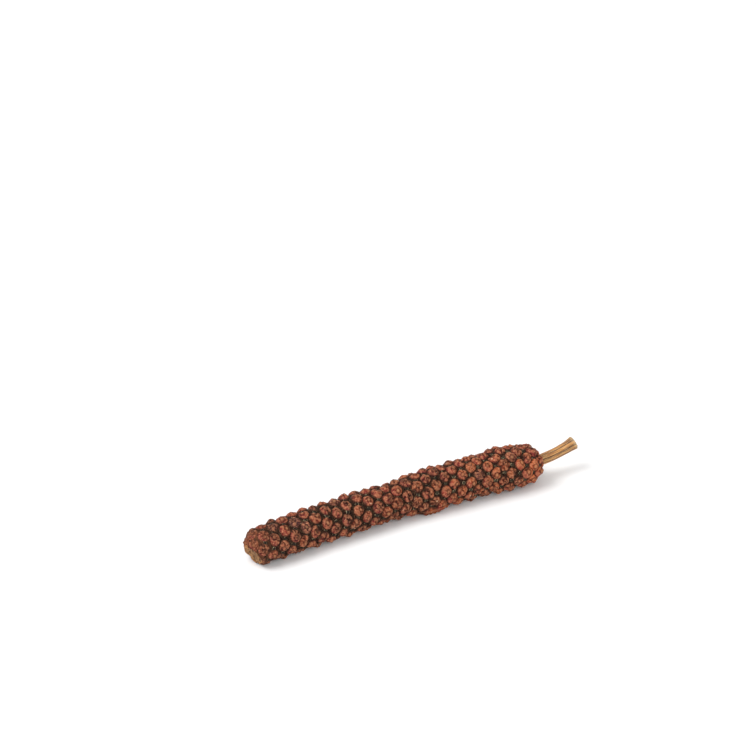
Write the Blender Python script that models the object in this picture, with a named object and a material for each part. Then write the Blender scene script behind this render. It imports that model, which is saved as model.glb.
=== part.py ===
"""A dried long pepper: a slim spike of small fused berries on a short ridged stalk.

It lies on its side along X, with its blunt tip at -X and its stalk at +X. The origin is the middle of the
bottom of its box. Round the spike, angles count from the top, over the side that faces -Y, to the bottom.
"""

import math

import bpy
import numpy as np

# The spike, in metres. Distances along it count from its tip.
SPIKE_LENGTH = 0.0472
TIP_HALF_RADIUS = 0.00285
BASE_HALF_RADIUS = 0.00305
THICKENING = (0.0250, 0.0295)
WAIST = (0.0228, 0.0017, -0.00020)
SHOULDER = (0.0414, 0.0018, 0.00026)
TIP_ROUNDING = 0.0022
BASE_ROUNDING = 0.0026
BOW = 0.0012
AXIS_HEIGHT = (0.00253, 0.00289)

# The berries stand in 15 strands that wind slowly round the spike. Each strand is 0.4 of a step ahead of
# the one before it, which gives the steep spirals of 9 and of 6.
STRANDS = 15
STRAND_LEAD = 0.4
STRAND_TURN = math.radians(10.8)
STEP_AT_TIP = 0.00325
STEP_AT_BASE = 0.00224
STEP_CHANGE = (0.0138, 0.0478)
FIRST_BERRY = (0.02698, math.radians(38.0))
BERRY_RADIUS = 0.00074
BERRY_HEIGHT = 0.00042
BERRY_CURVE = 0.00080
BERRY_UNEVENNESS = 0.14
CLOSEST_BERRIES = 0.00108
BRACT_RADIUS = 0.00032
BRACT_HEIGHT = 0.00018
SEED = 7

# The worn facet on the tip, low on the side that faces -Y.
FACET_NORMAL = (-0.90, -0.22, -0.40)
FACET_REACH = 0.00178

# The stalk and its socket in the base of the spike.
STALK_LENGTH = 0.0059
STALK_ROOT = 0.0012
STALK_RADIUS = 0.00074
STALK_END_RADIUS = 0.00092
STALK_RISE = 0.0012
STALK_RIDGES = 8
STALK_RIDGE_HEIGHT = 0.14
SOCKET_GAP = 0.00010
SOCKET_LIP = 0.00018
LIP_STEPS = 0.15

# The mesh: rings a fifth of a step apart and four columns to a strand, so that each berry has its own point.
RINGS_PER_STEP = 5
COLUMNS_PER_STRAND = 4
PROFILE_POINTS = 4001
STALK_POINTS = 12
STALK_POINTS_PER_RIDGE = 4

COLLECTION = "long_pepper"


def clear_scene():
    """Remove every object that the opened file holds."""
    for thing in list(bpy.data.objects):
        bpy.data.objects.remove(thing, do_unlink=True)


def ease(x, start, end):
    """Go smoothly from 0 at start to 1 at end."""
    share = np.clip((x - start) / (end - start), 0.0, 1.0)
    return share * share * (3.0 - 2.0 * share)


def swell(x, middle, spread, size):
    """A smooth bump of this size round middle, or a waist where the size is negative."""
    return size * np.exp(-(((x - middle) / spread) ** 2))


def body_radius(along):
    """Radius of the spike over its berries, before its ends are rounded."""
    thicker = BASE_HALF_RADIUS - TIP_HALF_RADIUS
    radius = TIP_HALF_RADIUS + thicker * ease(along, *THICKENING)
    return radius + swell(along, *WAIST) + swell(along, *SHOULDER)


def profile():
    """The spike's outline without its berries: distance along it, radius, and length of the outline so far.

    Both ends are rounded like an ellipse. The outline starts at the tip and stops at the socket.
    """
    turn = np.linspace(0.0, math.pi, PROFILE_POINTS)
    along = SPIKE_LENGTH * (1.0 - np.cos(turn)) / 2.0
    into_tip = np.clip(1.0 - along / TIP_ROUNDING, 0.0, 1.0)
    into_base = np.clip(1.0 - (SPIKE_LENGTH - along) / BASE_ROUNDING, 0.0, 1.0)
    roundness = np.sqrt((1.0 - into_tip**2) * (1.0 - into_base**2))
    radius = (body_radius(along) - BERRY_HEIGHT) * roundness
    inside = (along < SPIKE_LENGTH / 2) | (radius > socket_radius() + SOCKET_LIP)
    along = along[inside]
    radius = radius[inside]
    length = np.concatenate([[0.0], np.cumsum(np.hypot(np.diff(along), np.diff(radius)))])
    return along, radius, length


def socket_radius():
    return STALK_RADIUS + SOCKET_GAP


def steps_along(along, length):
    """How many berry steps lie between the tip and each point of the outline."""
    step = STEP_AT_TIP + (STEP_AT_BASE - STEP_AT_TIP) * ease(along, *STEP_CHANGE)
    middle_step = (step[1:] + step[:-1]) / 2.0
    return np.concatenate([[0.0], np.cumsum(np.diff(length) / middle_step)])


def axis_line(along):
    """The spike's own axis: it bows a little towards +Y, and rises a little towards its thicker base."""
    share = along / SPIKE_LENGTH
    sideways = BOW * (1.0 - (2.0 * share - 1.0) ** 2)
    height = AXIS_HEIGHT[0] + (AXIS_HEIGHT[1] - AXIS_HEIGHT[0]) * share
    return np.stack([along, sideways, height + swell(along, *SHOULDER) / 2.0], axis=-1)


def outwards(angle):
    return np.stack([np.zeros_like(angle), -np.sin(angle), np.cos(angle)], axis=-1)


class Outline:
    """The berryless spike, which turns (steps from the tip, angle) into a place and a direction."""

    def __init__(self):
        self.along, self.radius, self.length = profile()
        self.steps = steps_along(self.along, self.length)
        leaning = np.gradient(self.along, self.length)
        self.facing_x = -np.gradient(self.radius, self.length)
        self.facing_out = leaning

    def at(self, steps, angle):
        """Places on the outline, and the directions that face straight out of it there."""
        along = np.interp(steps, self.steps, self.along)
        radius = np.interp(steps, self.steps, self.radius)
        place = axis_line(along) + radius[..., None] * outwards(angle)
        facing = np.interp(steps, self.steps, self.facing_out)[..., None] * outwards(angle)
        facing[..., 0] = np.interp(steps, self.steps, self.facing_x)
        facing /= np.linalg.norm(facing, axis=-1, keepdims=True)
        return place, facing

    def steps_to(self, along):
        return float(np.interp(along, self.along, self.steps))


def strand_angle(strand, steps, first_steps):
    """Angle of a strand after so many steps. Every strand winds at the same rate."""
    return FIRST_BERRY[1] + strand * 2.0 * math.pi / STRANDS + (steps - first_steps) * STRAND_TURN


def berry_spots(outline):
    """Steps and angle of each berry, from base to tip, leaving out those that find no room at the ends."""
    first_steps = outline.steps_to(FIRST_BERRY[0])
    last = outline.steps[-1]
    spots = []
    for strand in range(STRANDS):
        start = (first_steps + strand * STRAND_LEAD) % 1.0
        for steps in np.arange(start, last, 1.0):
            spots.append((steps, strand_angle(strand, steps, first_steps)))
    middle = last / 2.0
    spots.sort(key=lambda spot: (round(abs(spot[0] - middle), 6), spot[1]))
    steps, angle = np.array(spots).T
    places, _ = outline.at(steps, angle)
    kept = []
    for i, place in enumerate(places):
        if all(np.linalg.norm(place - places[j]) > CLOSEST_BERRIES for j in kept):
            kept.append(i)
    return steps[kept], angle[kept]


def bump(places, centres, radius, height, curve):
    """Tallest of the round caps over each place. A cap is part of a ball, cut off level with the spike."""
    apart = np.linalg.norm(places[..., None, :] - centres, axis=-1) / radius
    ball = curve**2 - np.minimum(apart * BERRY_RADIUS, curve) ** 2
    cap = np.sqrt(ball) - np.sqrt(curve**2 - BERRY_RADIUS**2)
    cap /= curve - math.sqrt(curve**2 - BERRY_RADIUS**2)
    return np.max(np.where(apart < 1.0, cap, 0.0) * height, axis=-1)


def relief(outline, places):
    """Height of the berries and bracts over each place on the outline."""
    random = np.random.default_rng(SEED)
    steps, angle = berry_spots(outline)
    centres, _ = outline.at(steps, angle)
    uneven = 1.0 - BERRY_UNEVENNESS * random.random(len(steps))
    berries = bump(places, centres, BERRY_RADIUS * uneven, BERRY_HEIGHT * uneven, BERRY_CURVE)
    bract_steps = np.minimum(steps + 0.5, outline.steps[-1])
    holes, _ = outline.at(bract_steps, angle + STRAND_TURN / 2.0)
    heights = np.where(steps + 0.5 < outline.steps[-1], BRACT_HEIGHT, 0.0)
    bracts = bump(places, holes, np.full(len(steps), BRACT_RADIUS), heights, BERRY_CURVE)
    return np.maximum(berries, bracts)


def wear_tip(places):
    """Press whatever stands past the worn facet's plane back onto it."""
    normal = np.array(FACET_NORMAL)
    normal /= np.linalg.norm(normal)
    past = (places - axis_line(np.array(TIP_ROUNDING))) @ normal - FACET_REACH
    return places - np.maximum(past, 0.0)[..., None] * normal


def surface(outline, steps, angle):
    """Points of the finished spike. Nothing reaches below the floor, which flattens the lowest berries."""
    places, facing = outline.at(steps, angle)
    fading = ease(outline.steps[-1] - steps, 0.0, LIP_STEPS)
    places += facing * (relief(outline, places) * fading)[..., None]
    places = wear_tip(places)
    places[..., 2] = np.maximum(places[..., 2], 0.0)
    return places


def spike_rings(outline):
    """The spike's rings of points, from its tip to the lip of its socket, and the angles of the last ring."""
    first_steps = outline.steps_to(FIRST_BERRY[0])
    start = first_steps * RINGS_PER_STEP % 1.0
    steps = np.arange(start, outline.steps[-1] * RINGS_PER_STEP, 1.0) / RINGS_PER_STEP
    steps = np.append(steps[steps < outline.steps[-1] - 0.5 / RINGS_PER_STEP], outline.steps[-1])
    strand = np.arange(STRANDS * COLUMNS_PER_STRAND) / COLUMNS_PER_STRAND
    steps, strand = np.meshgrid(steps, strand, indexing="ij")
    angle = strand_angle(strand, steps, first_steps)
    return surface(outline, steps, angle), angle[-1]


def socket_rings(angle):
    """The socket's mouth, the rim of its floor, and the middle of its floor."""
    floor = SPIKE_LENGTH - STALK_ROOT - SOCKET_GAP
    rings = []
    for along in (SPIKE_LENGTH, floor):
        rings.append(axis_line(np.full_like(angle, along)) + socket_radius() * outwards(angle))
    return np.stack(rings), axis_line(np.array(floor))


def skin(rings):
    """Triangles between neighbouring rings. Each four-sided patch is folded so that it bulges outwards."""
    count, columns, _ = rings.shape
    number = np.arange(count * columns).reshape(count, columns)
    beside = np.roll(number, -1, axis=1)
    a, b, c, d = (part.ravel() for part in (number[:-1], beside[:-1], beside[1:], number[1:]))
    points = rings.reshape(-1, 3)
    out_of_patch = np.cross(points[b] - points[a], points[c] - points[a])
    bulging = np.sum(out_of_patch * (points[d] - points[a]), axis=1) < 0.0
    first = np.where(bulging, c, d)
    second = np.where(bulging, a, b)
    return np.concatenate([np.stack([a, b, first], axis=1), np.stack([second, c, d], axis=1)])


def closed_loft(name, rings, first_point, last_point):
    """A mesh skinned over rings of points, closed by a fan to a point at each end."""
    count, columns, _ = rings.shape
    points = np.concatenate([rings.reshape(-1, 3), [first_point], [last_point]])
    ring = np.arange(columns)
    beside = np.roll(ring, -1)
    start = count * columns
    first_fan = np.stack([np.full(columns, start), beside, ring], axis=1)
    last_fan = np.stack([np.full(columns, start + 1), ring, beside], axis=1)
    last_fan[:, 1:] += start - columns
    faces = np.concatenate([skin(rings), first_fan, last_fan])
    mesh = bpy.data.meshes.new(name)
    mesh.from_pydata(points.tolist(), [], faces.tolist())
    mesh.validate()
    mesh.update()
    mesh.shade_smooth()
    return bpy.data.objects.new(name, mesh)


def make_spike():
    outline = Outline()
    rings, angle = spike_rings(outline)
    socket, socket_end = socket_rings(angle)
    tip = surface(outline, np.zeros(1), np.zeros(1))[0]
    return closed_loft("fruit_spike", np.concatenate([rings, socket]), tip, socket_end)


def stalk_section():
    """The stalk's ridged cross-section, as a closed flat curve of radius 1, for the stalk to be swept with."""
    count = STALK_RIDGES * STALK_POINTS_PER_RIDGE
    turn = -np.arange(count) / count * 2.0 * math.pi
    radius = 1.0 - STALK_RIDGE_HEIGHT * (1.0 - np.cos(STALK_RIDGES * turn)) / 2.0
    curve = bpy.data.curves.new("stalk_section", "CURVE")
    curve.dimensions = "2D"
    spline = curve.splines.new("POLY")
    spline.points.add(count - 1)
    points = np.stack([radius * np.cos(turn), radius * np.sin(turn), 0 * turn, 0 * turn + 1], axis=1)
    spline.points.foreach_set("co", points.ravel())
    spline.use_cyclic_u = True
    section = bpy.data.objects.new("stalk_section", curve)
    section.hide_render = True
    section.display_type = "WIRE"
    return section


def stalk_line():
    """The stalk's middle line, which leaves the spike along its axis and then curves up."""
    share = np.linspace(0.0, 1.0, STALK_POINTS)
    along = SPIKE_LENGTH - STALK_ROOT + share * (STALK_ROOT + STALK_LENGTH)
    outside = np.maximum(along - SPIKE_LENGTH, 0.0) / STALK_LENGTH
    line = axis_line(np.full_like(along, SPIKE_LENGTH))
    line[:, 0] = along
    line[:, 2] += STALK_RISE * outside**1.8
    radius = STALK_RADIUS + (STALK_END_RADIUS - STALK_RADIUS) * outside**6
    return line, radius


def make_stalk(section):
    line, radius = stalk_line()
    curve = bpy.data.curves.new("stalk", "CURVE")
    curve.dimensions = "3D"
    curve.bevel_mode = "OBJECT"
    curve.bevel_object = section
    curve.use_fill_caps = True
    spline = curve.splines.new("POLY")
    spline.points.add(len(line) - 1)
    spline.points.foreach_set("co", np.column_stack([line, np.ones(len(line))]).ravel())
    spline.points.foreach_set("radius", radius)
    spline.use_smooth = True
    return bpy.data.objects.new("stalk", curve)


def plain_material(name, colour, roughness):
    material = bpy.data.materials.new(name)
    material.use_nodes = True
    shader = material.node_tree.nodes["Principled BSDF"]
    shader.inputs["Base Color"].default_value = (*colour, 1.0)
    shader.inputs["Roughness"].default_value = roughness
    shader.inputs["Metallic"].default_value = 0.0
    material.diffuse_color = (*colour, 1.0)
    return material


def centre_on_floor(things):
    """Move the things together so that the middle of the bottom of their box is the origin."""
    bpy.context.view_layer.update()
    graph = bpy.context.evaluated_depsgraph_get()
    corners = []
    for thing in things:
        mesh = thing.evaluated_get(graph).to_mesh()
        points = np.empty(len(mesh.vertices) * 3, np.float32)
        mesh.vertices.foreach_get("co", points)
        corners.append(points.reshape(-1, 3))
        thing.evaluated_get(graph).to_mesh_clear()
    points = np.concatenate(corners)
    middle = (points.min(axis=0) + points.max(axis=0)) / 2.0
    for thing in things:
        thing.location = (-middle[0], -middle[1], -points[:, 2].min())


def main():
    clear_scene()
    parts = bpy.data.collections.new(COLLECTION)
    guides = bpy.data.collections.new("guides")
    for collection in (parts, guides):
        bpy.context.scene.collection.children.link(collection)
    section = stalk_section()
    guides.objects.link(section)
    spike = make_spike()
    spike.data.materials.append(plain_material("dried_berries", (0.27, 0.075, 0.035), 0.6))
    stalk = make_stalk(section)
    stalk.data.materials.append(plain_material("dried_stalk", (0.52, 0.33, 0.13), 0.7))
    for thing in (spike, stalk):
        parts.objects.link(thing)
    centre_on_floor([spike, stalk])


main()
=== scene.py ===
import math

import bpy
import numpy as np
from mathutils import Matrix, Vector


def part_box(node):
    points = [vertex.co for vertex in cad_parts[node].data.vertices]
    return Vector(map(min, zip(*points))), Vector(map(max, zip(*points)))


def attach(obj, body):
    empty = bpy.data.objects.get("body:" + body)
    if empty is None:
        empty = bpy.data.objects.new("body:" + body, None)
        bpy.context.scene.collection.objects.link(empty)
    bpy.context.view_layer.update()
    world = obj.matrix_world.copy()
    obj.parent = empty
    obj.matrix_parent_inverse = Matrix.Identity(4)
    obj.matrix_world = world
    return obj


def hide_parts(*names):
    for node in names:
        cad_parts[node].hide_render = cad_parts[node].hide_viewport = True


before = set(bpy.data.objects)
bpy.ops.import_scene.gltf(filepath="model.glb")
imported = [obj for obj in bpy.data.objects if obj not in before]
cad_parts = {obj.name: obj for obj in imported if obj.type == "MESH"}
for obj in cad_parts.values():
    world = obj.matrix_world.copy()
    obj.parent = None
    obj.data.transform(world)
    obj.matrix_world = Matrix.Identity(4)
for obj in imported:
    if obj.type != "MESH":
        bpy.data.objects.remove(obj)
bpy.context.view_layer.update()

# A dried long pepper on a white table: a slim spike of small fused berries on a short ridged stalk.
# It lies along X with its tip at -X. All sizes are in metres.
# Distances along the spike count from its tip. Angles count from the top, over the side that faces -Y.

# The spike without its berries, and how the berries stand on it.
SPIKE_LENGTH = 0.0472
TIP_HALF_RADIUS = 0.00285
BASE_HALF_RADIUS = 0.00305
THICKENING = (0.0250, 0.0295)
WAIST = (0.0228, 0.0017, -0.00020)
SHOULDER = (0.0414, 0.0018, 0.00026)
TIP_ROUNDING = 0.0022
BASE_ROUNDING = 0.0026
BOW = 0.0012
AXIS_HEIGHT = (0.00253, 0.00289)
STRANDS = 15
STRAND_LEAD = 0.4
STRAND_TURN = math.radians(10.8)
STEP_AT_TIP = 0.00325
STEP_AT_BASE = 0.00224
STEP_CHANGE = (0.0138, 0.0478)
FIRST_BERRY = (0.02698, math.radians(38.0))
CLOSEST_BERRIES = 0.00108
PROFILE_POINTS = 4001

# The berries.
SEED = 7
BERRY_RADIUS = 0.00086
BERRY_HEIGHT = 0.00042
DOME_HEIGHT = 0.00058
DOME_CURVE = 1.05
BERRY_SHIFT = 0.00012
VALLEY_DEPTH = 0.00016
FACETS = 3
RIM_SWELL = 0.00005
NUB_RADIUS = 0.00016
NUB_HEIGHT = 0.00006

# Where the shrunken berries of the tip give way to full ones.
FUSED_TIP = (0.0012, 0.0055)

# Creases all over the skin: their two sizes, and their height at the tip and elsewhere.
CREASE_SIZES = (0.00042, 0.00024)
CREASE_HEIGHTS = (0.00021, 0.00015)

# A long pinched fold low on the side that faces -Y: its middle (along, angle), half sizes and heights.
FOLD_MIDDLE = (0.0292, math.radians(139.0))
FOLD_SIZE = (0.0021, 0.00062)
FOLD_HEIGHT = 0.00080
PLEAT_HEIGHT = 0.00022

# The bracts: the rings of a bract's upper side, as shares of its radius, and one ring underneath.
BRACT_RADIUS = 0.00031
BRACT_COLUMNS = 10
BRACT_RINGS = (0.45, 0.80, 1.0)
BRACT_UNDERSIDE = (0.86, -0.55)

# The facet worn on the tip, its rim, and the shallow rough dish inside it.
FACET_NORMAL = (-0.90, -0.22, -0.40)
FACET_REACH = 0.00178
FACET_RIM = 0.00010
FACET_UNEVENNESS = 0.00013
DISH_RADIUS = 0.0013
DISH_DEPTH = 0.00036
DISH_ROUGHNESS = 0.00010

# The socket that the stalk stands in.
SOCKET_RADIUS = 0.00084
SOCKET_LIP = 0.00018
SOCKET_DEPTH = 0.0013

# The stalk.
STALK_LENGTH = 0.0059
STALK_ROOT = 0.0012
STALK_RADIUS = 0.00074
STALK_END_RADIUS = 0.00092
STALK_RISE = 0.0012
STALK_CURVE = 1.8
STALK_RIDGES = 8

# The rings of the stalk's cut: their share of its radius, how far they are sunk, and how much they show pith.
CUT_RINGS = (
    (0.93, -0.00005, 0.3),
    (0.80, -0.00002, 0.6),
    (0.62, 0.00012, 0.8),
    (0.35, 0.00016, 1.0),
    (0.12, 0.00010, 1.0),
)

# The grids of the spike's skin and the stalk's, the margin of the skin's map, and the lattice of the noise.
RINGS = 520
COLUMNS = 190
STALK_RINGS = 150
STALK_COLUMNS = 128
MAP_MARGIN = 0.004
NOISE_CELLS = 64

# The photo, as a picture of 756 by 756 pixels, and the camera that took it.
PICTURE = 756
SPIKE_MIDDLE_PIXEL = (391.0, 500.8)
CAMERA_TURN = math.radians(29.8)
CAMERA_HEIGHT = math.radians(30.0)
CAMERA_DISTANCE = 0.5905
LENS = 200.0
SENSOR = 36.0


def ease(x, start, end):
    """Go smoothly from 0 at start to 1 at end: 3 s squared minus 2 s cubed of the share s."""
    share = np.clip((x - start) / (end - start), 0.0, 1.0)
    return share * share * (3.0 - 2.0 * share)


def swell(x, middle, spread, size):
    """A smooth bump of this size round middle: size times e to the minus squared distance in spreads."""
    return size * np.exp(-(((x - middle) / spread) ** 2))


def noise(places, size, seed):
    """Smooth noise from -1 to 1 with lumps of this size.

    Seeded random heights stand at the corners of a lattice of cubes, and each place gets the eased blend of
    the eight heights round it.
    """
    heights = np.random.default_rng(seed).uniform(-1.0, 1.0, (NOISE_CELLS,) * 3)
    cell = np.floor(places / size).astype(int)
    share = ease(places / size - cell, 0.0, 1.0)
    total = 0.0
    for corner in np.ndindex(2, 2, 2):
        weight = np.prod(np.where(corner, share, 1.0 - share), axis=-1)
        x, y, z = np.moveaxis((cell + corner) % NOISE_CELLS, -1, 0)
        total = total + weight * heights[x, y, z]
    return total


def creases(places, size, seed):
    """Sharp little ridges: 1 minus the size of the noise, squared, with its places pushed about by noise."""
    push = np.stack([noise(places, size * 2.0, seed + k) for k in (1, 2, 3)], axis=-1)
    return (1.0 - np.abs(noise(places + push * size * 0.6, size, seed))) ** 2


# The berryless spike.


def body_radius(along):
    """Radius over the berries: the tip half's eased to the base half's, with a waist and a shoulder."""
    thicker = BASE_HALF_RADIUS - TIP_HALF_RADIUS
    radius = TIP_HALF_RADIUS + thicker * ease(along, *THICKENING)
    return radius + swell(along, *WAIST) + swell(along, *SHOULDER)


def profile():
    """Distance along the spike, radius, and length of the outline so far.

    Each end is rounded like an ellipse: the radius is times the root of 1 minus the squared share of the
    rounding that is left to go. The outline stops at the socket.
    """
    turn = np.linspace(0.0, math.pi, PROFILE_POINTS)
    along = SPIKE_LENGTH * (1.0 - np.cos(turn)) / 2.0
    into_tip = np.clip(1.0 - along / TIP_ROUNDING, 0.0, 1.0)
    into_base = np.clip(1.0 - (SPIKE_LENGTH - along) / BASE_ROUNDING, 0.0, 1.0)
    roundness = np.sqrt((1.0 - into_tip**2) * (1.0 - into_base**2))
    radius = (body_radius(along) - BERRY_HEIGHT) * roundness
    inside = (along < SPIKE_LENGTH / 2) | (radius > SOCKET_RADIUS + SOCKET_LIP)
    along = along[inside]
    radius = radius[inside]
    length = np.concatenate([[0.0], np.cumsum(np.hypot(np.diff(along), np.diff(radius)))])
    return along, radius, length


def axis_line(along):
    """The spike's axis: a parabola's bow towards +Y, and a rise towards the base with half the shoulder."""
    share = along / SPIKE_LENGTH
    sideways = BOW * (1.0 - (2.0 * share - 1.0) ** 2)
    height = AXIS_HEIGHT[0] + (AXIS_HEIGHT[1] - AXIS_HEIGHT[0]) * share
    return np.stack([along, sideways, height + swell(along, *SHOULDER) / 2.0], axis=-1)


def outwards(angle):
    """Away from the axis at this angle: minus its sine along Y, and its cosine along Z."""
    return np.stack([np.zeros_like(angle), -np.sin(angle), np.cos(angle)], axis=-1)


def straight_round(angle):
    """Straight round the axis at this angle: minus its cosine along Y, and minus its sine along Z."""
    return np.stack([np.zeros_like(angle), -np.cos(angle), -np.sin(angle)], axis=-1)


def unit(vectors):
    """The same directions, one long."""
    return vectors / np.maximum(np.linalg.norm(vectors, axis=-1, keepdims=True), 1e-12)


class Outline:
    """The berryless spike, which turns a length along its outline and an angle into a place."""

    def __init__(self):
        self.along, self.radius, self.length = profile()
        step = STEP_AT_TIP + (STEP_AT_BASE - STEP_AT_TIP) * ease(self.along, *STEP_CHANGE)
        middle_step = (step[1:] + step[:-1]) / 2.0
        self.steps = np.concatenate([[0.0], np.cumsum(np.diff(self.length) / middle_step)])
        self.facing_out = np.gradient(self.along, self.length)
        self.facing_x = -np.gradient(self.radius, self.length)

    def at(self, length, angle):
        """The place on the axis's ring at this length and angle, and the direction straight out of it."""
        along = np.interp(length, self.length, self.along)
        radius = np.interp(length, self.length, self.radius)
        place = axis_line(along) + radius[..., None] * outwards(angle)
        facing = np.interp(length, self.length, self.facing_out)[..., None] * outwards(angle)
        facing[..., 0] = np.interp(length, self.length, self.facing_x)
        return place, unit(facing)

    def length_at_steps(self, steps):
        """The length along the outline after this many steps from berry to berry."""
        return np.interp(steps, self.steps, self.length)


class Berries:
    """Where each berry stands, and its own size, lean, dents and tone."""

    def __init__(self, outline):
        self.random = np.random.default_rng(SEED)
        first_steps = float(np.interp(FIRST_BERRY[0], outline.along, outline.steps))
        self.steps, self.angle = self.spots(outline, first_steps)
        count = len(self.steps)
        self.length = outline.length_at_steps(self.steps)
        self.centre, self.out = outline.at(self.length, self.angle)
        self.baseward = unit(np.cross(self.out, straight_round(self.angle)))
        self.downward = np.cross(self.baseward, self.out)
        skew = self.random.uniform(-0.8, 0.8, (count, 1))
        self.along = np.cos(skew) * self.baseward + np.sin(skew) * self.downward
        self.around = np.cross(self.along, self.out)
        shift = self.random.uniform(-BERRY_SHIFT, BERRY_SHIFT, (2, count, 1))
        self.centre = self.centre + shift[0] * self.along + shift[1] * self.around
        self.radius = BERRY_RADIUS * self.random.uniform(0.90, 1.14, (2, count))
        self.height = self.random.uniform(0.84, 1.10, count)
        self.sunken = np.where(self.random.random(count) < 0.14, self.random.uniform(0.25, 0.6, count), 0.0)
        self.dent_angle = self.random.uniform(0.0, 2.0 * math.pi, (FACETS, count))
        self.dent_slope = self.random.uniform(0.45, 1.30, (FACETS, count))
        self.dent_level = self.random.uniform(0.86, 1.20, (FACETS, count))
        self.folds = self.random.integers(3, 7, count)
        self.fold_depth = self.random.uniform(0.05, 0.22, count)
        self.fold_start = self.random.uniform(0.0, 2.0 * math.pi, count)
        self.nub = self.random.uniform(-0.30, 0.30, (2, count))
        self.nub_size = self.random.uniform(-0.5, 1.0, count)
        self.tone = self.random.random(count)
        self.redness = self.random.random(count)

    def spots(self, outline, first_steps):
        """Steps and angle of each berry. Each strand winds evenly and starts 0.4 of a step after the last."""
        last = outline.steps[-1]
        spots = []
        for strand in range(STRANDS):
            start = (first_steps + strand * STRAND_LEAD) % 1.0
            for steps in np.arange(start, last, 1.0):
                turn = strand * 2.0 * math.pi / STRANDS + (steps - first_steps) * STRAND_TURN
                spots.append((steps, FIRST_BERRY[1] + turn))
        spots.sort(key=lambda spot: (round(abs(spot[0] - last / 2.0), 6), spot[1]))
        steps, angle = np.array(spots).T
        places, _ = outline.at(outline.length_at_steps(steps), angle)
        kept = []
        for i, place in enumerate(places):
            if all(np.linalg.norm(place - places[j]) > CLOSEST_BERRIES for j in kept):
                kept.append(i)
        return steps[kept], angle[kept]

    def nearest(self, places):
        """For each place, the nearest berry's number, and how far off it and the next one are, in radii."""
        best = np.empty(len(places), int)
        apart = np.empty((2, len(places)))
        for part in np.array_split(np.arange(len(places)), 24):
            offset = places[part][:, None, :] - self.centre
            u = np.einsum("pbi,bi->pb", offset, self.along) / self.radius[0]
            v = np.einsum("pbi,bi->pb", offset, self.around) / self.radius[1]
            w = np.einsum("pbi,bi->pb", offset, self.out) / BERRY_RADIUS
            far = np.sqrt(u**2 + v**2 + w**2)
            two = np.argpartition(far, 1, axis=1)[:, :2]
            pair = np.take_along_axis(far, two, axis=1)
            order = np.argsort(pair, axis=1)
            best[part] = np.take_along_axis(two, order, axis=1)[:, 0]
            apart[:, part] = np.take_along_axis(pair, order, axis=1).T
        return best, apart

    def local(self, places, which):
        """Place in each given berry's own flat frame, in its radii: along the spike, and round it."""
        offset = places - self.centre[which]
        u = np.sum(offset * self.along[which], axis=-1) / self.radius[0][which]
        v = np.sum(offset * self.around[which], axis=-1) / self.radius[1][which]
        return u, v

    def square_on(self, places, which):
        """Place on each given berry along the spike and straight round it, in plain berry radii."""
        offset = (places - self.centre[which]) / BERRY_RADIUS
        return np.sum(offset * self.baseward[which], axis=-1), np.sum(offset * self.downward[which], axis=-1)

    def dome(self, places, which):
        """Height over one berry's foot, from 0 to about 1.

        A third of it is the cap of a ball, the root of c squared minus r squared, and the rest is the bell
        (1 minus r squared) to the power 1.4. Slanting planes cut it, which dents it. Some berries have sunk
        in on top. Small folds run in from the rim, and a nub stands on top.
        """
        u, v = self.local(places, which)
        r = np.minimum(np.hypot(u, v), 1.0)
        foot = math.sqrt(DOME_CURVE**2 - 1.0)
        height = (np.sqrt(DOME_CURVE**2 - r**2) - foot) / (DOME_CURVE - foot)
        height = height / 3.0 + (1.0 - r**2) ** 1.4 * 2.0 / 3.0
        for angle, slope, level in zip(self.dent_angle, self.dent_slope, self.dent_level):
            lean = u * np.cos(angle[which]) + v * np.sin(angle[which])
            height = np.minimum(height, level[which] - slope[which] * lean)
        height = np.maximum(height, 0.0)
        height -= self.sunken[which] * np.exp(-((r / 0.45) ** 2))
        turn = np.arctan2(v, u)
        folds = np.cos(self.folds[which] * turn + self.fold_start[which] + 2.0 * r)
        height += self.fold_depth[which] * folds * r * (1.0 - r**4)
        from_nub = np.hypot(u - self.nub[0][which], v - self.nub[1][which]) * BERRY_RADIUS / NUB_RADIUS
        nub = np.exp(-(from_nub**2)) - 0.8 * np.exp(-((from_nub - 1.7) ** 2))
        height += NUB_HEIGHT / DOME_HEIGHT * nub * self.nub_size[which]
        return height * self.height[which]


def grid_mesh(name, grid, start=None, end=None, smooth=True):
    """A mesh skinned over rings of points that close round, and closed at its ends by fans to two points."""
    count, columns, _ = grid.shape
    number = np.arange(count * columns).reshape(count, columns)
    beside = np.roll(number, -1, axis=1)
    quads = np.stack([number[:-1], beside[:-1], beside[1:], number[1:]], axis=-1).reshape(-1, 4)
    points = [grid.reshape(-1, 3)]
    fans = []
    for end_point, ring, other in ((start, beside[0], number[0]), (end, number[-1], beside[-1])):
        if end_point is not None:
            middle = np.full(columns, sum(len(p) for p in points))
            points.append(np.reshape(end_point, (1, 3)))
            fans.append(np.stack([middle, ring, other], axis=-1))
    return mesh_from(name, np.concatenate(points), quads, fans, smooth)


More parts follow.
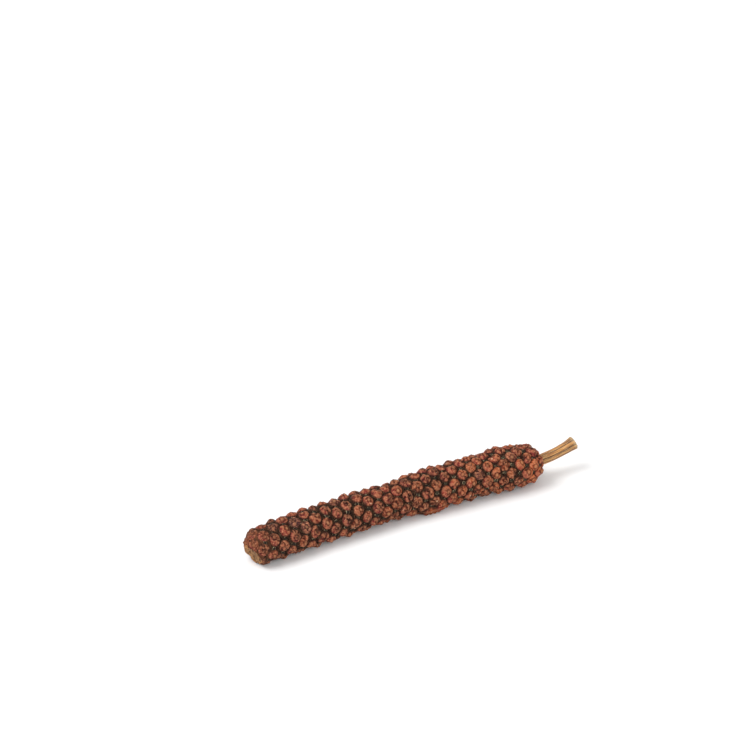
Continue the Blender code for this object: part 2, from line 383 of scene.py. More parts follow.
def mesh_from(name, points, quads, fans, smooth=True):
    """Put arrays of points, four-sided faces and triangles into a new mesh."""
    triangles = np.concatenate(fans) if fans else np.empty((0, 3), int)
    corners = np.concatenate([quads.ravel(), triangles.ravel()])
    sides = np.concatenate([np.full(len(quads), 4), np.full(len(triangles), 3)])
    mesh = bpy.data.meshes.new(name)
    mesh.vertices.add(len(points))
    mesh.vertices.foreach_set("co", points.astype(np.float32).ravel())
    mesh.loops.add(len(corners))
    mesh.loops.foreach_set("vertex_index", corners.astype(np.int32))
    mesh.polygons.add(len(sides))
    starts = np.concatenate([[0], np.cumsum(sides)[:-1]])
    mesh.polygons.foreach_set("loop_start", starts.astype(np.int32))
    mesh.update(calc_edges=True)
    mesh.validate()
    if smooth:
        mesh.shade_smooth()
    return mesh


def set_attribute(mesh, name, values, domain="POINT"):
    """Store one number or one vector for each point or face corner."""
    kind, field = ("FLOAT", "value") if values.ndim == 1 else ("FLOAT_VECTOR", "vector")
    attribute = mesh.attributes.new(name, kind, domain)
    attribute.data.foreach_set(field, values.astype(np.float32).ravel())


def piece(name, mesh, material, replaced):
    """Show a mesh as a piece of the pepper that stands for a CAD node."""
    thing = bpy.data.objects.new(name, mesh)
    bpy.context.scene.collection.objects.link(thing)
    mesh.materials.append(material)
    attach(thing, "root")
    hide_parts(replaced)


# The spike's skin.


def wear_tip(places):
    """Press what stands past the worn facet's plane back onto it, into a shallow rough dish.

    Also gives how far each place was pressed, as a share that goes from 0 to 1 over the facet's rim.
    """
    normal = np.array(FACET_NORMAL)
    normal = normal / np.linalg.norm(normal)
    middle = axis_line(np.array(TIP_ROUNDING)) + normal * FACET_REACH
    past = (places - middle) @ normal - FACET_UNEVENNESS * noise(places, 0.0007, 31)
    scar = ease(past, 0.0, FACET_RIM)
    sideways = np.linalg.norm(np.cross(places - middle, normal), axis=-1)
    dish = DISH_DEPTH * (1.0 - ease(sideways, 0.0, DISH_RADIUS))
    dish = dish + DISH_ROUGHNESS * creases(places, 0.0005, 37)
    pressed = np.maximum(past, 0.0) + scar * dish
    return places - pressed[..., None] * normal, scar


def blurred(values, times):
    """Average a grid of values with its neighbours again and again. It closes round in the columns."""
    for _ in range(times):
        padded = np.concatenate([values[:1], values, values[-1:]])
        values = (padded[:-2] + padded[2:] + 2.0 * values) / 4.0
        values = (np.roll(values, 1, axis=1) + np.roll(values, -1, axis=1) + 2.0 * values) / 4.0
    return values


def underside_fold(length, outline, angle):
    """A long pinched fold low on the side that faces -Y: how far it covers each place, and its height.

    It covers an oval patch, e to the minus the sum of fourth powers of the two distances. Its height is a low
    swelling with three sharp lengthwise pleats.
    """
    along = np.interp(length, outline.length, outline.along)
    lengthwise = (along - FOLD_MIDDLE[0]) / FOLD_SIZE[0]
    across = (angle - FOLD_MIDDLE[1]) * TIP_HALF_RADIUS / FOLD_SIZE[1] + 0.25 * np.sin(1.6 * lengthwise)
    cover = np.exp(-(lengthwise**4) - across**4)
    pleats = 1.0 - np.abs(np.sin(1.5 * math.pi * across + 0.7 * lengthwise))
    return cover, FOLD_HEIGHT * (1.0 - 0.3 * across**2) + PLEAT_HEIGHT * (pleats**1.5 - 0.5)


def skin_grid(outline, berries):
    """The rings of the finished skin, and what its finish needs to know of each point.

    The berryless spike is raised by the domes of its berries, which are low on the shrunken tip, and by
    creases. It is sunk in the valleys, and the tip is worn last.
    """
    length = (np.arange(RINGS) + 0.5) / RINGS * outline.length[-1]
    angle = np.arange(COLUMNS) / COLUMNS * 2.0 * math.pi
    length, angle = np.meshgrid(length, angle, indexing="ij")
    places, facing = outline.at(length, angle)
    flat = places.reshape(-1, 3)
    best, apart = berries.nearest(flat)
    dome = np.where(apart[0] < 1.0, berries.dome(flat, best), 0.0)
    valley = ease(apart[0], 0.85, 1.40)
    wrinkle = 0.6 * creases(flat, CREASE_SIZES[0], 11) + 0.4 * creases(flat, CREASE_SIZES[1], 17)
    fading = ease(outline.length[-1] - length.ravel(), 0.0, 0.0004)
    grown = ease(np.interp(length.ravel(), outline.length, outline.along), *FUSED_TIP)
    relief = DOME_HEIGHT * dome * (0.45 + 0.55 * grown)
    crease_height = CREASE_HEIGHTS[0] + (CREASE_HEIGHTS[1] - CREASE_HEIGHTS[0]) * grown
    height = relief - VALLEY_DEPTH * valley + crease_height * (wrinkle - 0.45)
    fold, folded = underside_fold(length.ravel(), outline, angle.ravel())
    height = (height + (folded - height) * fold) * fading
    dome = dome + (0.32 - dome) * fold
    u, v = berries.local(flat, best)
    rim = np.exp(-(((np.hypot(u, v) - 0.80) / 0.16) ** 2))
    sideways = unit(u[:, None] * berries.along[best] + v[:, None] * berries.around[best])
    moved = flat + facing.reshape(-1, 3) * height[:, None]
    moved += sideways * (RIM_SWELL * rim * fading)[:, None]
    moved, scar = wear_tip(moved)
    raised = height.reshape(RINGS, COLUMNS)
    crease = (blurred(raised, 6) - raised) / 0.00010
    return {
        "rings": moved.reshape(RINGS, COLUMNS, 3),
        "dome": dome,
        "valley": valley,
        "crease": crease.ravel(),
        "scar": scar,
        "best": best,
        "undisplaced": flat,
    }


def socket_rings():
    """The socket's mouth and the rim of its floor, and the middle of its floor."""
    angle = np.arange(COLUMNS) / COLUMNS * 2.0 * math.pi
    rings = []
    for along in (SPIKE_LENGTH, SPIKE_LENGTH - SOCKET_DEPTH):
        rings.append(axis_line(np.full(COLUMNS, along)) + SOCKET_RADIUS * outwards(angle))
    return np.stack(rings), axis_line(np.array(SPIKE_LENGTH - SOCKET_DEPTH))


def on_map(across, up, upper):
    """A place on the map of the skin: a share of the way across it, and up its lower or its upper half."""
    left = MAP_MARGIN + across * (1.0 - 2.0 * MAP_MARGIN)
    height = MAP_MARGIN + np.where(upper, 0.5, 0.0) + up * (0.5 - 2.0 * MAP_MARGIN)
    return np.stack(np.broadcast_arrays(left, height), axis=-1)


def bake_map(mesh, rings):
    """The piece's own map for the finish: the skin unrolled, its tip half in the lower half of the square.

    The way along the spike is the map's width, and the way round it is the map's height. The two fans that
    close the ends hang on the left and the right edge.
    """
    half = rings // 2
    row, column = np.meshgrid(np.arange(rings - 1), np.arange(COLUMNS), indexing="ij")
    upper = row >= half
    start = np.where(upper, half, 0)
    count = np.where(upper, rings - half, half + 1)
    corners = []
    for along, round_it in ((0, 0), (0, 1), (1, 1), (1, 0)):
        across = (row - start + along + 1.0) / (count + 1.0)
        corners.append(on_map(across, (column + round_it) / COLUMNS, upper))
    quads = np.stack(corners, axis=2).reshape(-1, 2)
    column = np.arange(COLUMNS)
    first_ring = 1.0 / (half + 2.0)
    last_ring = 1.0 - 1.0 / (rings - half + 1.0)
    fans = []
    for end, ring, before, after, upper in ((0.0, first_ring, 1, 0, False), (1.0, last_ring, 0, 1, True)):
        middle = on_map(end, (column + 0.5) / COLUMNS, upper)
        sides = [on_map(ring, (column + side) / COLUMNS, upper) for side in (before, after)]
        fans.append(np.stack([middle, *sides], axis=1).reshape(-1, 2))
    layer = mesh.uv_layers.new(name="OFBake")
    layer.data.foreach_set("uv", np.concatenate([quads, *fans]).astype(np.float32).ravel())


def corner_berries(mesh, berries, undisplaced, points):
    """For each face corner, its place on the berry nearest to the face, with that berry's tone."""
    corners = np.empty(len(mesh.loops), np.int32)
    mesh.loops.foreach_get("vertex_index", corners)
    sides = np.empty(len(mesh.polygons), np.int32)
    mesh.polygons.foreach_get("loop_total", sides)
    starts = np.concatenate([[0], np.cumsum(sides)[:-1]])
    base = np.concatenate([undisplaced, points[len(undisplaced):]])
    middles = np.add.reduceat(base[corners], starts, axis=0) / sides[:, None]
    best, _ = berries.nearest(middles)
    which = np.repeat(best, sides)
    u, v = berries.square_on(base[corners], which)
    set_attribute(mesh, "berry_spot", np.stack([u, v, berries.tone[which]], axis=-1), "CORNER")
    u, v = berries.local(base[corners], which)
    nub = np.stack([u - berries.nub[0][which], v - berries.nub[1][which], berries.redness[which]], axis=-1)
    set_attribute(mesh, "berry_nub", nub, "CORNER")


def make_spike(outline, berries, skin, place):
    """The whole skin of the spike, from its worn tip to the floor of its socket, as one closed mesh."""
    socket, socket_end = socket_rings()
    rings = np.concatenate([skin["rings"], socket]) + place
    tip, _ = wear_tip(outline.at(np.zeros(1), np.zeros(1))[0])
    rings[..., 2] = np.maximum(rings[..., 2], 0.0)
    mesh = grid_mesh("spike_surface", rings, tip[0] + place, socket_end + place)
    in_socket = {"dome": 0.0, "valley": 1.0, "crease": 1.0, "scar": 0.0}
    at_tip = {"dome": 0.0, "valley": 0.5, "crease": 0.0, "scar": 1.0}
    for name, value in in_socket.items():
        added = np.append(np.full(2 * COLUMNS, value), [at_tip[name], value])
        set_attribute(mesh, name, np.append(skin[name], added))
    points = np.empty(len(mesh.vertices) * 3, np.float32)
    mesh.vertices.foreach_get("co", points)
    corner_berries(mesh, berries, skin["undisplaced"], points.reshape(-1, 3) - place)
    bake_map(mesh, len(rings))
    piece("spike_surface", mesh, berry_material(), "fruit_spike")


def spike_place(skin):
    """How far the spike moves from its own frame, with its tip's ring at 0, to its place in the CAD model."""
    rings = skin["rings"].reshape(-1, 3)
    low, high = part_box("fruit_spike")
    middle = (rings.min(axis=0) + rings.max(axis=0)) / 2.0
    return np.array([(low.x + high.x) / 2.0 - middle[0], (low.y + high.y) / 2.0 - middle[1], 0.0])


# The bracts.


def bract_places(outline, berries, random):
    """Where each bract stands, half a step on from a berry, and its leaning axes: along, around and out."""
    steps = berries.steps + 0.5 + random.uniform(-0.04, 0.04, len(berries.steps))
    angle = berries.angle + STRAND_TURN / 2.0 + random.uniform(-0.03, 0.03, len(berries.steps))
    inside = (steps < outline.steps[-1] - 0.25) & (steps > 0.9)
    centre, out = outline.at(outline.length_at_steps(steps[inside]), angle[inside])
    along = unit(np.cross(out, straight_round(angle[inside])))
    around = np.cross(along, out)
    tilt = random.uniform(-0.35, 0.35, (2, len(centre), 1))
    leaning = unit(out + tilt[0] * along + tilt[1] * around)
    along = unit(np.cross(around, leaning))
    return centre, along, np.cross(leaning, along), leaning


def random_waves(random, count, turn, waves):
    """For each bract, waves of these numbers and heights round it, each turned at random, added up."""
    total = np.zeros((count, 1, len(turn)))
    for number, height in waves:
        total = total + height * np.cos(number * turn + random.uniform(0.0, 2.0 * math.pi, (count, 1, 1)))
    return total


def make_bracts(outline, berries, place):
    """One small crinkled shield in each hollow between four berries, all in one mesh.

    Each is a low dome, its height 1 minus the squared share of its radius, with waves of 2, 3 and 5 that grow
    as that square, and a ragged rim. A smaller ring and a point underneath close it.
    """
    random = np.random.default_rng(SEED + 1)
    centre, along, around, leaning = bract_places(outline, berries, random)
    count = len(centre)
    turn = np.arange(BRACT_COLUMNS) / BRACT_COLUMNS * 2.0 * math.pi
    upper = np.array(BRACT_RINGS)
    reach = np.append(upper, BRACT_UNDERSIDE[0])[:, None]
    rise = np.append(1.0 - upper**2, BRACT_UNDERSIDE[1])[:, None]
    size = BRACT_RADIUS * random.uniform(0.8, 1.25, (count, 1, 1))
    wave = reach**2 * random_waves(random, count, turn, ((2, 0.30), (3, 0.34), (5, 0.16)))
    ragged = 1.0 + 0.22 * reach * random_waves(random, count, turn, ((1, 0.5), (2, 0.5), (4, 0.5)))
    up = size * (0.40 * rise + 0.50 * wave) + random.uniform(-0.00008, 0.00006, (count, 1, 1))
    rings = centre[:, None, None, :]
    shares = (size * reach * np.cos(turn) * ragged, size * reach * np.sin(turn) * ragged, up)
    for share, axis in zip(shares, (along, around, leaning)):
        rings = rings + share[..., None] * axis[:, None, None, :]
    top = centre + leaning * (size[:, 0] * 0.35)
    under = centre - leaning * 0.00012
    points = np.concatenate([rings.reshape(count, -1, 3), top[:, None], under[:, None]], axis=1)
    number = np.arange(len(reach) * BRACT_COLUMNS).reshape(-1, BRACT_COLUMNS)
    beside = np.roll(number, -1, axis=1)
    quads = np.stack([number[:-1], number[1:], beside[1:], beside[:-1]], axis=-1).reshape(-1, 4)
    top_number, under_number = np.full((2, BRACT_COLUMNS), number.size) + [[0], [1]]
    fans = [
        np.stack([top_number, number[0], beside[0]], axis=-1),
        np.stack([under_number, beside[-1], number[-1]], axis=-1),
    ]
    start = (np.arange(count) * points.shape[1])[:, None, None]
    rim = np.tile(np.append(np.repeat(reach[:, 0], BRACT_COLUMNS), [0.0, 0.5]), count)
    tone = np.repeat(random.random(count), points.shape[1])
    points = points.reshape(-1, 3) + place
    points[:, 2] = np.maximum(points[:, 2], 0.0)
    fans = [(fan + start).reshape(-1, 3) for fan in fans]
    mesh = mesh_from("bracts", points, (quads + start).reshape(-1, 4), fans)
    set_attribute(mesh, "rim", rim)
    set_attribute(mesh, "tone", tone)
    piece("bracts", mesh, bract_material(), "fruit_spike")


# The stalk.


def stalk_line(along, outside):
    """The stalk's middle line, which rises as its share of the way out to the power 1.8, and its axes."""
    line = axis_line(np.full(along.shape, SPIKE_LENGTH))
    line[..., 0] = along
    line[..., 2] += STALK_RISE * outside**STALK_CURVE
    slope = STALK_RISE * STALK_CURVE * outside ** (STALK_CURVE - 1.0) / STALK_LENGTH
    forward = unit(np.stack([np.ones_like(slope), 0 * slope, slope], axis=-1))
    side = np.broadcast_to(np.array([0.0, -1.0, 0.0]), forward.shape)
    return line, forward, side, np.cross(side, forward)


def stalk_radius(along, outside, turn, ridge, spot, fibres):
    """The stalk's radius, which flares at the cut, times its ridges, its fibres and a slow unevenness.

    A collar, wider underneath, swells its foot, and the part in the socket stays slim.
    """
    uneven = 0.6 + 0.4 * np.cos(3.0 * turn + 1.3 + 0.6 * outside)
    scale = 1.12 - 0.20 * (1.0 - ridge) * uneven - 0.05 * (1.0 - fibres) + 0.03 * noise(spot, 0.5, 43)
    collar = swell(along, SPIKE_LENGTH + 0.00008, 0.00022, 1.0)
    scale = scale + collar * (0.10 + 0.16 * np.maximum(0.0, -np.cos(turn - 0.5)))
    scale = np.where(along < SPIKE_LENGTH - 0.00010, np.minimum(scale, 1.12), scale)
    return (STALK_RADIUS + (STALK_END_RADIUS - STALK_RADIUS) * outside**6) * scale


def make_stalk(place):
    """The ridged stalk: rings across a line that leaves along the axis and then curves up.

    Its ridges are the size of a cosine to the power 0.7 and wander as they go out. The cut's face is a rough
    rim round a sunken pith.
    """
    share = np.linspace(0.0, 1.0, STALK_RINGS)[:, None]
    turn = (np.arange(STALK_COLUMNS) / STALK_COLUMNS * 2.0 * math.pi)[None, :]
    along = SPIKE_LENGTH - STALK_ROOT + share * (STALK_ROOT + STALK_LENGTH)
    outside = np.maximum(along - SPIKE_LENGTH, 0.0) / STALK_LENGTH
    line, forward, side, up = stalk_line(along, outside)
    wander = 0.35 * np.sin(3.0 * outside + 1.0) + 0.12 * np.sin(9.0 * outside)
    ridge = np.abs(np.cos(STALK_RIDGES / 2.0 * turn + wander)) ** 0.7
    spot = np.stack(np.broadcast_arrays(np.cos(turn), np.sin(turn), 0.55 * outside), axis=-1)
    fibres = creases(spot, 0.16, 41)
    radius = stalk_radius(along, outside, turn, ridge, spot, fibres)
    ring = np.cos(turn)[..., None] * up + np.sin(turn)[..., None] * side
    rings = line + radius[..., None] * ring
    rough = noise(spot[-1:], 0.22, 47)
    rings[-1:] -= forward[-1:] * (0.00005 * rough)[..., None]
    cut = []
    for inward, sunk, _ in CUT_RINGS:
        level = sunk - 0.00006 * rough * (inward > 0.5)
        centre = line[-1:] - forward[-1:] * level[..., None]
        cut.append(centre + (radius[-1:] * inward)[..., None] * ring[-1:])
    end = line[-1, 0] - forward[-1, 0] * 0.00009
    mesh = grid_mesh("stalk_surface", np.concatenate([rings, *cut]) + place, line[0, 0] + place, end + place)
    pith = [ring_pith for _, _, ring_pith in CUT_RINGS]
    for name, on_skin, on_cut, at_ends in (
        ("outside", outside, np.ones(len(cut)), (0.0, 1.0)),
        ("cut_face", 0.0, pith, (0.0, 1.0)),
        ("groove", 1.0 - ridge, np.zeros(len(cut)), (0.0, 0.0)),
        ("fibre", fibres, np.full(len(cut), 0.5), (0.5, 0.5)),
    ):
        on_skin = np.broadcast_to(on_skin, (STALK_RINGS, STALK_COLUMNS)).ravel()
        set_attribute(mesh, name, np.concatenate([on_skin, np.repeat(on_cut, STALK_COLUMNS), at_ends]))
    lengthwise = np.concatenate([spot.reshape(-1, 3), np.tile(spot[-1], (len(cut), 1)), np.zeros((2, 3))])
    set_attribute(mesh, "lengthwise", lengthwise)
    piece("stalk_surface", mesh, stalk_material(), "stalk")


# Materials. A small kit for making nodes comes first.


class Tree:
    """A material's nodes, made by short calls. An input that is a socket is linked, and any other is set."""

    def __init__(self, name):
        self.material = bpy.data.materials.new(name)
        self.material.use_nodes = True
        self.nodes = self.material.node_tree.nodes
        self.links = self.material.node_tree.links
        self.shader = self.nodes["Principled BSDF"]

    def put(self, socket, value):
        if isinstance(value, bpy.types.NodeSocket):
            self.links.new(value, socket)
        elif hasattr(socket.default_value, "__len__") and len(value) == 3 and len(socket.default_value) == 4:
            socket.default_value = (*value, 1.0)
        else:
            socket.default_value = value

    def node(self, kind, inputs, **settings):
        made = self.nodes.new(kind)
        for name, value in settings.items():
            setattr(made, name, value)
        for name, value in inputs.items():
            self.put(made.inputs[name], value)
        return made

    def attribute(self, name):
        return self.node("ShaderNodeAttribute", {}, attribute_name=name)

    def number(self, name):
        return self.attribute(name).outputs["Fac"]

    def object_places(self):
        return self.node("ShaderNodeTexCoord", {}).outputs["Object"]

    def math(self, operation, first, second=0.0):
        return self.node("ShaderNodeMath", {0: first, 1: second}, operation=operation).outputs[0]

    def split(self, vector):
        return self.node("ShaderNodeSeparateXYZ", {0: vector}).outputs

    def spread(self, value, start, end, low=0.0, high=1.0):
        """Go smoothly from low to high as the value goes from start to end."""
        inputs = {"Value": value, "From Min": start, "From Max": end, "To Min": low, "To Max": high}
        return self.node("ShaderNodeMapRange", inputs, interpolation_type="SMOOTHSTEP").outputs["Result"]

    def mix(self, share, under, over):
        """Lay the second colour over the first by this share."""
        made = self.node("ShaderNodeMix", {}, data_type="RGBA")
        for place, value in ((0, share), (6, under), (7, over)):
            self.put(made.inputs[place], value)
        return made.outputs[2]

    def noise(self, places, size, detail=2.0, roughness=0.5, distortion=0.0):
        """Noise with lumps of this size, in the units of the places."""
        inputs = {"Vector": places, "Scale": 1.0 / size, "Detail": detail, "Roughness": roughness}
        inputs["Distortion"] = distortion
        return self.node("ShaderNodeTexNoise", inputs).outputs["Fac"]

    def thin_lines(self, places, size, width, distortion=0.8):
        """1 on thin crinkled lines, where a noise passes its middle value, and 0 between them."""
        level = self.noise(places, size, detail=2.0, distortion=distortion)
        return self.spread(self.math("ABSOLUTE", self.math("SUBTRACT", level, 0.5)), width, 0.0)

    def product(self, *factors):
        """All the factors, multiplied together."""
        total = factors[0]
        for factor in factors[1:]:
            total = self.math("MULTIPLY", total, factor)
        return total

    def cells(self, places, size):
        """How far off the nearest of some scattered spots is, which lie about this size apart."""
        return self.node("ShaderNodeTexVoronoi", {"Vector": places, "Scale": 1.0 / size}).outputs["Distance"]

    def scaled(self, places, factors):
        """The places with each axis multiplied by its own factor."""
        return self.node("ShaderNodeMapping", {"Vector": places, "Scale": factors}).outputs[0]

    def bump(self, height, distance):
        """The shading of relief that is this deep where the height is 1."""
        inputs = {"Height": height, "Distance": distance, "Strength": 1.0}
        return self.node("ShaderNodeBump", inputs).outputs[0]

    def finish(self, colour, roughness, normal, view_colour):
        self.put(self.shader.inputs["Base Color"], colour)
        self.put(self.shader.inputs["Roughness"], roughness)
        self.put(self.shader.inputs["Normal"], normal)
        self.material.diffuse_color = (*view_colour, 1.0)
        return self.material


def berry_material():
    """Dried berry skin: brick red to orange domes, dark skirts, near-black valleys, nubs, specks and scar.

    The skirts are partly and the valleys, pits and creases wholly painted shade; the glints and ridges are
    painted highlights, and the pale specks partly painted glints.
    """
    tree = Tree("dried_berry_skin")
    places = tree.object_places()
    dome = tree.number("dome")
    valley = tree.number("valley")
    crease = tree.number("crease")
    scar = tree.number("scar")
    spot = tree.split(tree.attribute("berry_spot").outputs["Vector"])
    nub = tree.split(tree.attribute("berry_nub").outputs["Vector"])
    tone = spot[2]
    redness = nub[2]
    along = tree.split(places)[0]

    broad = tree.noise(places, 0.0030, detail=2.0)
    middle = tree.noise(places, 0.00045, detail=3.0, roughness=0.65)
    small = tree.noise(places, 0.00020, detail=2.0)
    fine = tree.noise(places, 0.00010, detail=2.0)
    hairline = tree.thin_lines(places, 0.00026, 0.035)

    # Each berry's own tone, patchy, and darker in the tip half than at the base. The darkening of the tip
    # half is partly the skin's own colour and partly painted shade.
    basewards = tree.spread(along, -0.012, 0.020)
    dark = tree.mix(basewards, (0.048, 0.012, 0.009), (0.115, 0.024, 0.013))
    bright = tree.mix(basewards, (0.215, 0.044, 0.021), (0.500, 0.120, 0.041))
    light = tree.math("ADD", tree.math("MULTIPLY", tone, 0.35), tree.math("MULTIPLY", broad, 0.35))
    light = tree.math("ADD", light, tree.math("MULTIPLY", middle, 0.90))
    body = tree.mix(tree.spread(light, 0.62, 1.02), dark, bright)

    # Crimson on the side towards the tip, and a few berries dried to a greyish purple.
    tipward = tree.math("ADD", tree.math("MULTIPLY", spot[0], -1.0), tree.math("MULTIPLY", spot[1], 0.5))
    tipward = tree.math("ADD", tipward, tree.math("MULTIPLY", middle, 1.2))
    crimson = tree.product(tree.spread(tipward, 0.50, 1.10), tree.spread(redness, 0.15, 0.75), 0.60)
    body = tree.mix(crimson, body, (0.260, 0.030, 0.034))
    purple = tree.product(tree.spread(redness, 0.12, 0.05), 0.65)
    body = tree.mix(purple, body, (0.090, 0.036, 0.038))

    # Painted shade in small dark pits where the bump is low, painted glints where it is high, painted
    # highlights on the ridges, and painted shade in the creases.
    body = tree.mix(tree.product(tree.spread(small, 0.45, 0.33), 0.75), body, (0.022, 0.006, 0.005))
    body = tree.mix(tree.product(tree.spread(small, 0.55, 0.68), 0.70), body, (0.640, 0.280, 0.150))
    body = tree.mix(tree.product(tree.spread(crease, -0.05, -0.50), 0.45), body, (0.580, 0.230, 0.115))
    body = tree.mix(tree.product(tree.spread(crease, 0.00, 0.50), 0.85), body, (0.012, 0.004, 0.003))

    # The nub on each berry: a ragged pale spot in a dark ring, or a small dark pit.
    squares = tree.math("ADD", tree.math("MULTIPLY", nub[0], nub[0]), tree.math("MULTIPLY", nub[1], nub[1]))
    from_nub = tree.math("ADD", tree.math("SQRT", squares), tree.math("MULTIPLY", small, 0.30))
    shown = tree.spread(tone, 0.50, 0.70)
    ring = tree.product(tree.spread(from_nub, 0.34, 0.44), tree.spread(from_nub, 0.66, 0.52), 0.60)
    body = tree.mix(ring, body, (0.030, 0.010, 0.007))
    body = tree.mix(tree.product(tree.spread(from_nub, 0.38, 0.24), shown, 0.60), body, (0.400, 0.210, 0.095))
    pit = tree.product(tree.spread(from_nub, 0.36, 0.26), tree.spread(tone, 0.40, 0.28), 0.80)
    body = tree.mix(pit, body, (0.015, 0.006, 0.004))

    # Dark skirts round the berries, partly their own darker foot and partly painted shade, and between them
    # tissue painted near black as shade, grey-olive in places, with pale crinkles and pale specks that are
    # partly painted glints.
    skirt = tree.mix(tree.spread(middle, 0.42, 0.58), (0.055, 0.015, 0.013), (0.026, 0.008, 0.005))
    body = tree.mix(tree.product(tree.spread(dome, 0.45, 0.10), 0.80), body, skirt)
    low = tree.spread(dome, 0.18, 0.01)
    body = tree.mix(tree.product(low, 0.90), body, (0.022, 0.007, 0.004))
    olive = tree.product(low, tree.spread(middle, 0.54, 0.64), 0.55)
    body = tree.mix(olive, body, (0.050, 0.034, 0.021))
    # Painted shade, near black, deep in the valleys between the berries.
    deep = tree.product(tree.spread(valley, 0.30, 0.95), tree.spread(middle, 0.62, 0.48))
    body = tree.mix(tree.product(deep, 0.90), body, (0.006, 0.003, 0.003))
    body = tree.mix(tree.product(hairline, tree.spread(dome, 0.45, 0.15), 0.45), body, (0.340, 0.210, 0.110))
    # Pale specks of dried tissue, partly painted glints.
    flecks_and_glints = tree.spread(tree.cells(places, 0.00090), 0.16, 0.09)
    flecks_and_glints = tree.product(flecks_and_glints, tree.spread(tree.noise(places, 0.0016), 0.52, 0.60), 0.75)
    body = tree.mix(flecks_and_glints, body, (0.720, 0.500, 0.320))

    # The shrunken skin of the tip is browner, and the facet worn on it is grey-tan with a golden rim.
    shrunken = tree.product(tree.spread(along, -0.0225, -0.0262), tree.spread(middle, 0.40, 0.60), 0.60)
    body = tree.mix(shrunken, body, (0.230, 0.080, 0.038))
    fibres = tree.noise(tree.scaled(places, (1.0, 1.0, 0.3)), 0.00022, detail=3.0, roughness=0.6)
    worn = tree.mix(tree.spread(fibres, 0.38, 0.62), (0.085, 0.038, 0.018), (0.400, 0.210, 0.095))
    worn = tree.mix(tree.product(tree.spread(scar, 0.95, 0.60), 0.85), worn, (0.680, 0.320, 0.115))
    body = tree.mix(tree.spread(scar, 0.05, 0.40), body, worn)

    rough = tree.spread(middle, 0.30, 0.70, 0.34, 0.58)
    height = tree.math("ADD", tree.product(fine, 0.4), tree.product(middle, 0.8))
    height = tree.math("ADD", height, tree.product(small, 0.7))
    height = tree.math("ADD", height, tree.product(hairline, 0.30))
    tree.shader.inputs["Specular IOR Level"].default_value = 0.06
    return tree.finish(body, rough, tree.bump(height, 0.00011), (0.27, 0.075, 0.035))


def bract_material():
    """Dry bracts: dark olive shields with pale yellow-tan rims."""
    tree = Tree("dried_bracts")
    places = tree.object_places()
    rim = tree.number("rim")
    tone = tree.number("tone")
    fine = tree.noise(places, 0.00014, detail=3.0, roughness=0.6)
    along = tree.split(places)[0]
    grey = tree.mix(tree.spread(along, -0.012, 0.012), (0.030, 0.021, 0.015), (0.078, 0.060, 0.036))
    body = tree.mix(tree.spread(tone, 0.1, 0.7), (0.022, 0.014, 0.009), grey)
    body = tree.mix(tree.spread(fine, 0.52, 0.40), body, (0.008, 0.006, 0.005))
    pale = tree.math("MULTIPLY", tree.spread(rim, 0.55, 0.95), tree.spread(fine, 0.50, 0.60))
    body = tree.mix(tree.math("MULTIPLY", pale, 0.85), body, (0.560, 0.440, 0.260))
    tree.shader.inputs["Specular IOR Level"].default_value = 0.08
    return tree.finish(body, 0.6, tree.bump(fine, 0.00005), (0.08, 0.06, 0.03))


def stalk_material():
    """Dry stalk: golden tan ridges, painted shade of dark brown in the grooves, greenish and orange tints,
    and a pale rim at the cut.
    """
    tree = Tree("dried_stalk_skin")
    places = tree.object_places()
    lengthwise = tree.attribute("lengthwise").outputs["Vector"]
    groove = tree.number("groove")
    fibre = tree.number("fibre")
    face = tree.number("cut_face")
    outside = tree.number("outside")
    streaks = tree.noise(tree.scaled(lengthwise, (1.0, 1.0, 0.5)), 0.16, detail=3.0, roughness=0.6)
    fine = tree.noise(tree.scaled(lengthwise, (1.0, 1.0, 0.35)), 0.05, detail=3.0, roughness=0.6)
    patch = tree.noise(places, 0.0011, detail=2.0)
    body = tree.mix(tree.spread(streaks, 0.38, 0.62), (0.240, 0.092, 0.022), (0.610, 0.290, 0.078))
    body = tree.mix(tree.math("MULTIPLY", tree.spread(patch, 0.50, 0.70), 0.5), body, (0.440, 0.190, 0.045))
    body = tree.mix(tree.math("MULTIPLY", tree.spread(patch, 0.50, 0.32), 0.25), body, (0.340, 0.240, 0.090))
    # Painted shade, dark brown, in the grooves between the ridges and in the hollows between the fibres.
    body = tree.mix(tree.math("MULTIPLY", tree.spread(groove, 0.30, 0.70), 0.90), body, (0.045, 0.018, 0.006))
    body = tree.mix(tree.math("MULTIPLY", tree.spread(fibre, 0.35, 0.05), 0.55), body, (0.060, 0.026, 0.009))
    body = tree.mix(tree.math("MULTIPLY", tree.spread(fine, 0.54, 0.66), 0.6), body, (0.760, 0.520, 0.270))
    body = tree.mix(tree.math("MULTIPLY", tree.spread(outside, 0.90, 1.0), 0.35), body, (0.620, 0.520, 0.300))
    pith = tree.mix(tree.spread(fine, 0.4, 0.6), (0.260, 0.180, 0.080), (0.640, 0.520, 0.330))
    body = tree.mix(tree.spread(face, 0.2, 0.7), body, pith)
    height = tree.math("ADD", fine, tree.math("MULTIPLY", streaks, 0.8))
    return tree.finish(body, 0.55, tree.bump(height, 0.00005), (0.52, 0.33, 0.13))


def plain_material(name, colour, roughness):
    """One colour and one roughness all over, for the table alone."""
    tree = Tree(name)
    tree.put(tree.shader.inputs["Base Color"], colour)
    tree.put(tree.shader.inputs["Roughness"], roughness)
    return tree.material


# The table, the lights and the camera.


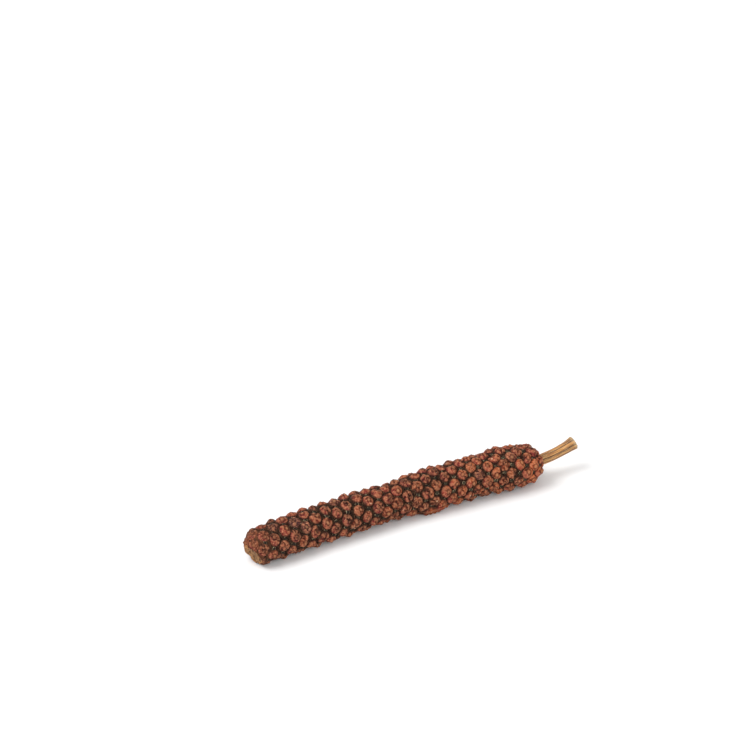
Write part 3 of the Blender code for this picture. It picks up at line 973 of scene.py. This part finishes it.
def make_floor():
    """A wide white table top just under the pepper."""
    size = 3.0
    corners = np.array([[-1.0, -1.0, 0.0], [1.0, -1.0, 0.0], [1.0, 1.0, 0.0], [-1.0, 1.0, 0.0]]) * size
    corners[:, 2] = -0.00001
    mesh = mesh_from("table_top", corners, np.array([[0, 1, 2, 3]]), [], smooth=False)
    mesh.materials.append(plain_material("white_table", (0.90, 0.90, 0.90), 0.9))
    floor = bpy.data.objects.new("table_top", mesh)
    bpy.context.scene.collection.objects.link(floor)


def add_softbox(name, place, size, power):
    """A square soft light that faces the pepper."""
    light = bpy.data.lights.new(name, "AREA")
    light.size = size
    light.energy = power
    thing = bpy.data.objects.new(name, light)
    thing.location = place
    thing.rotation_euler = (-Vector(place)).to_track_quat("-Z", "Y").to_euler()
    bpy.context.scene.collection.objects.link(thing)


def make_lights():
    """A white studio all round, a key light behind at the left, and a wide soft light in front."""
    world = bpy.data.worlds.new("white_studio")
    bpy.context.scene.world = world
    world.use_nodes = True
    background = world.node_tree.nodes["Background"]
    background.inputs["Color"].default_value = (1.0, 1.0, 1.0, 1.0)
    background.inputs["Strength"].default_value = 0.75
    add_softbox("key_softbox", place=(-0.30, 0.08, 0.45), size=0.32, power=2.0)
    add_softbox("front_softbox", place=(-0.12, -0.50, 0.24), size=0.50, power=1.2)


def make_camera(middle):
    """A level camera at the photo's turn and height, aimed so that the spike's middle falls on its pixel."""
    ahead = Vector(
        (
            math.sin(CAMERA_TURN) * math.cos(CAMERA_HEIGHT),
            math.cos(CAMERA_TURN) * math.cos(CAMERA_HEIGHT),
            -math.sin(CAMERA_HEIGHT),
        )
    )
    right = Vector((math.cos(CAMERA_TURN), -math.sin(CAMERA_TURN), 0.0))
    up = right.cross(ahead)
    metres_per_pixel = CAMERA_DISTANCE * SENSOR / LENS / PICTURE
    right_of_centre = (SPIKE_MIDDLE_PIXEL[0] - PICTURE / 2.0) * metres_per_pixel
    below_centre = (SPIKE_MIDDLE_PIXEL[1] - PICTURE / 2.0) * metres_per_pixel
    data = bpy.data.cameras.new("camera")
    data.lens = LENS
    data.sensor_width = SENSOR
    data.clip_start = 0.01
    data.clip_end = 20.0
    camera = bpy.data.objects.new("camera", data)
    axes = Matrix((right, up, -ahead)).transposed().to_4x4()
    place = Vector(middle) - ahead * CAMERA_DISTANCE - right * right_of_centre + up * below_centre
    camera.matrix_world = Matrix.Translation(place) @ axes
    bpy.context.scene.collection.objects.link(camera)
    bpy.context.scene.camera = camera


def main():
    outline = Outline()
    berries = Berries(outline)
    skin = skin_grid(outline, berries)
    place = spike_place(skin)
    make_camera(axis_line(np.array(SPIKE_LENGTH / 2.0)) + place)
    make_spike(outline, berries, skin, place)
    make_bracts(outline, berries, place)
    make_stalk(place)
    make_floor()
    make_lights()
    bpy.context.scene.view_settings.view_transform = "Standard"
    bpy.context.view_layer.update()


main()
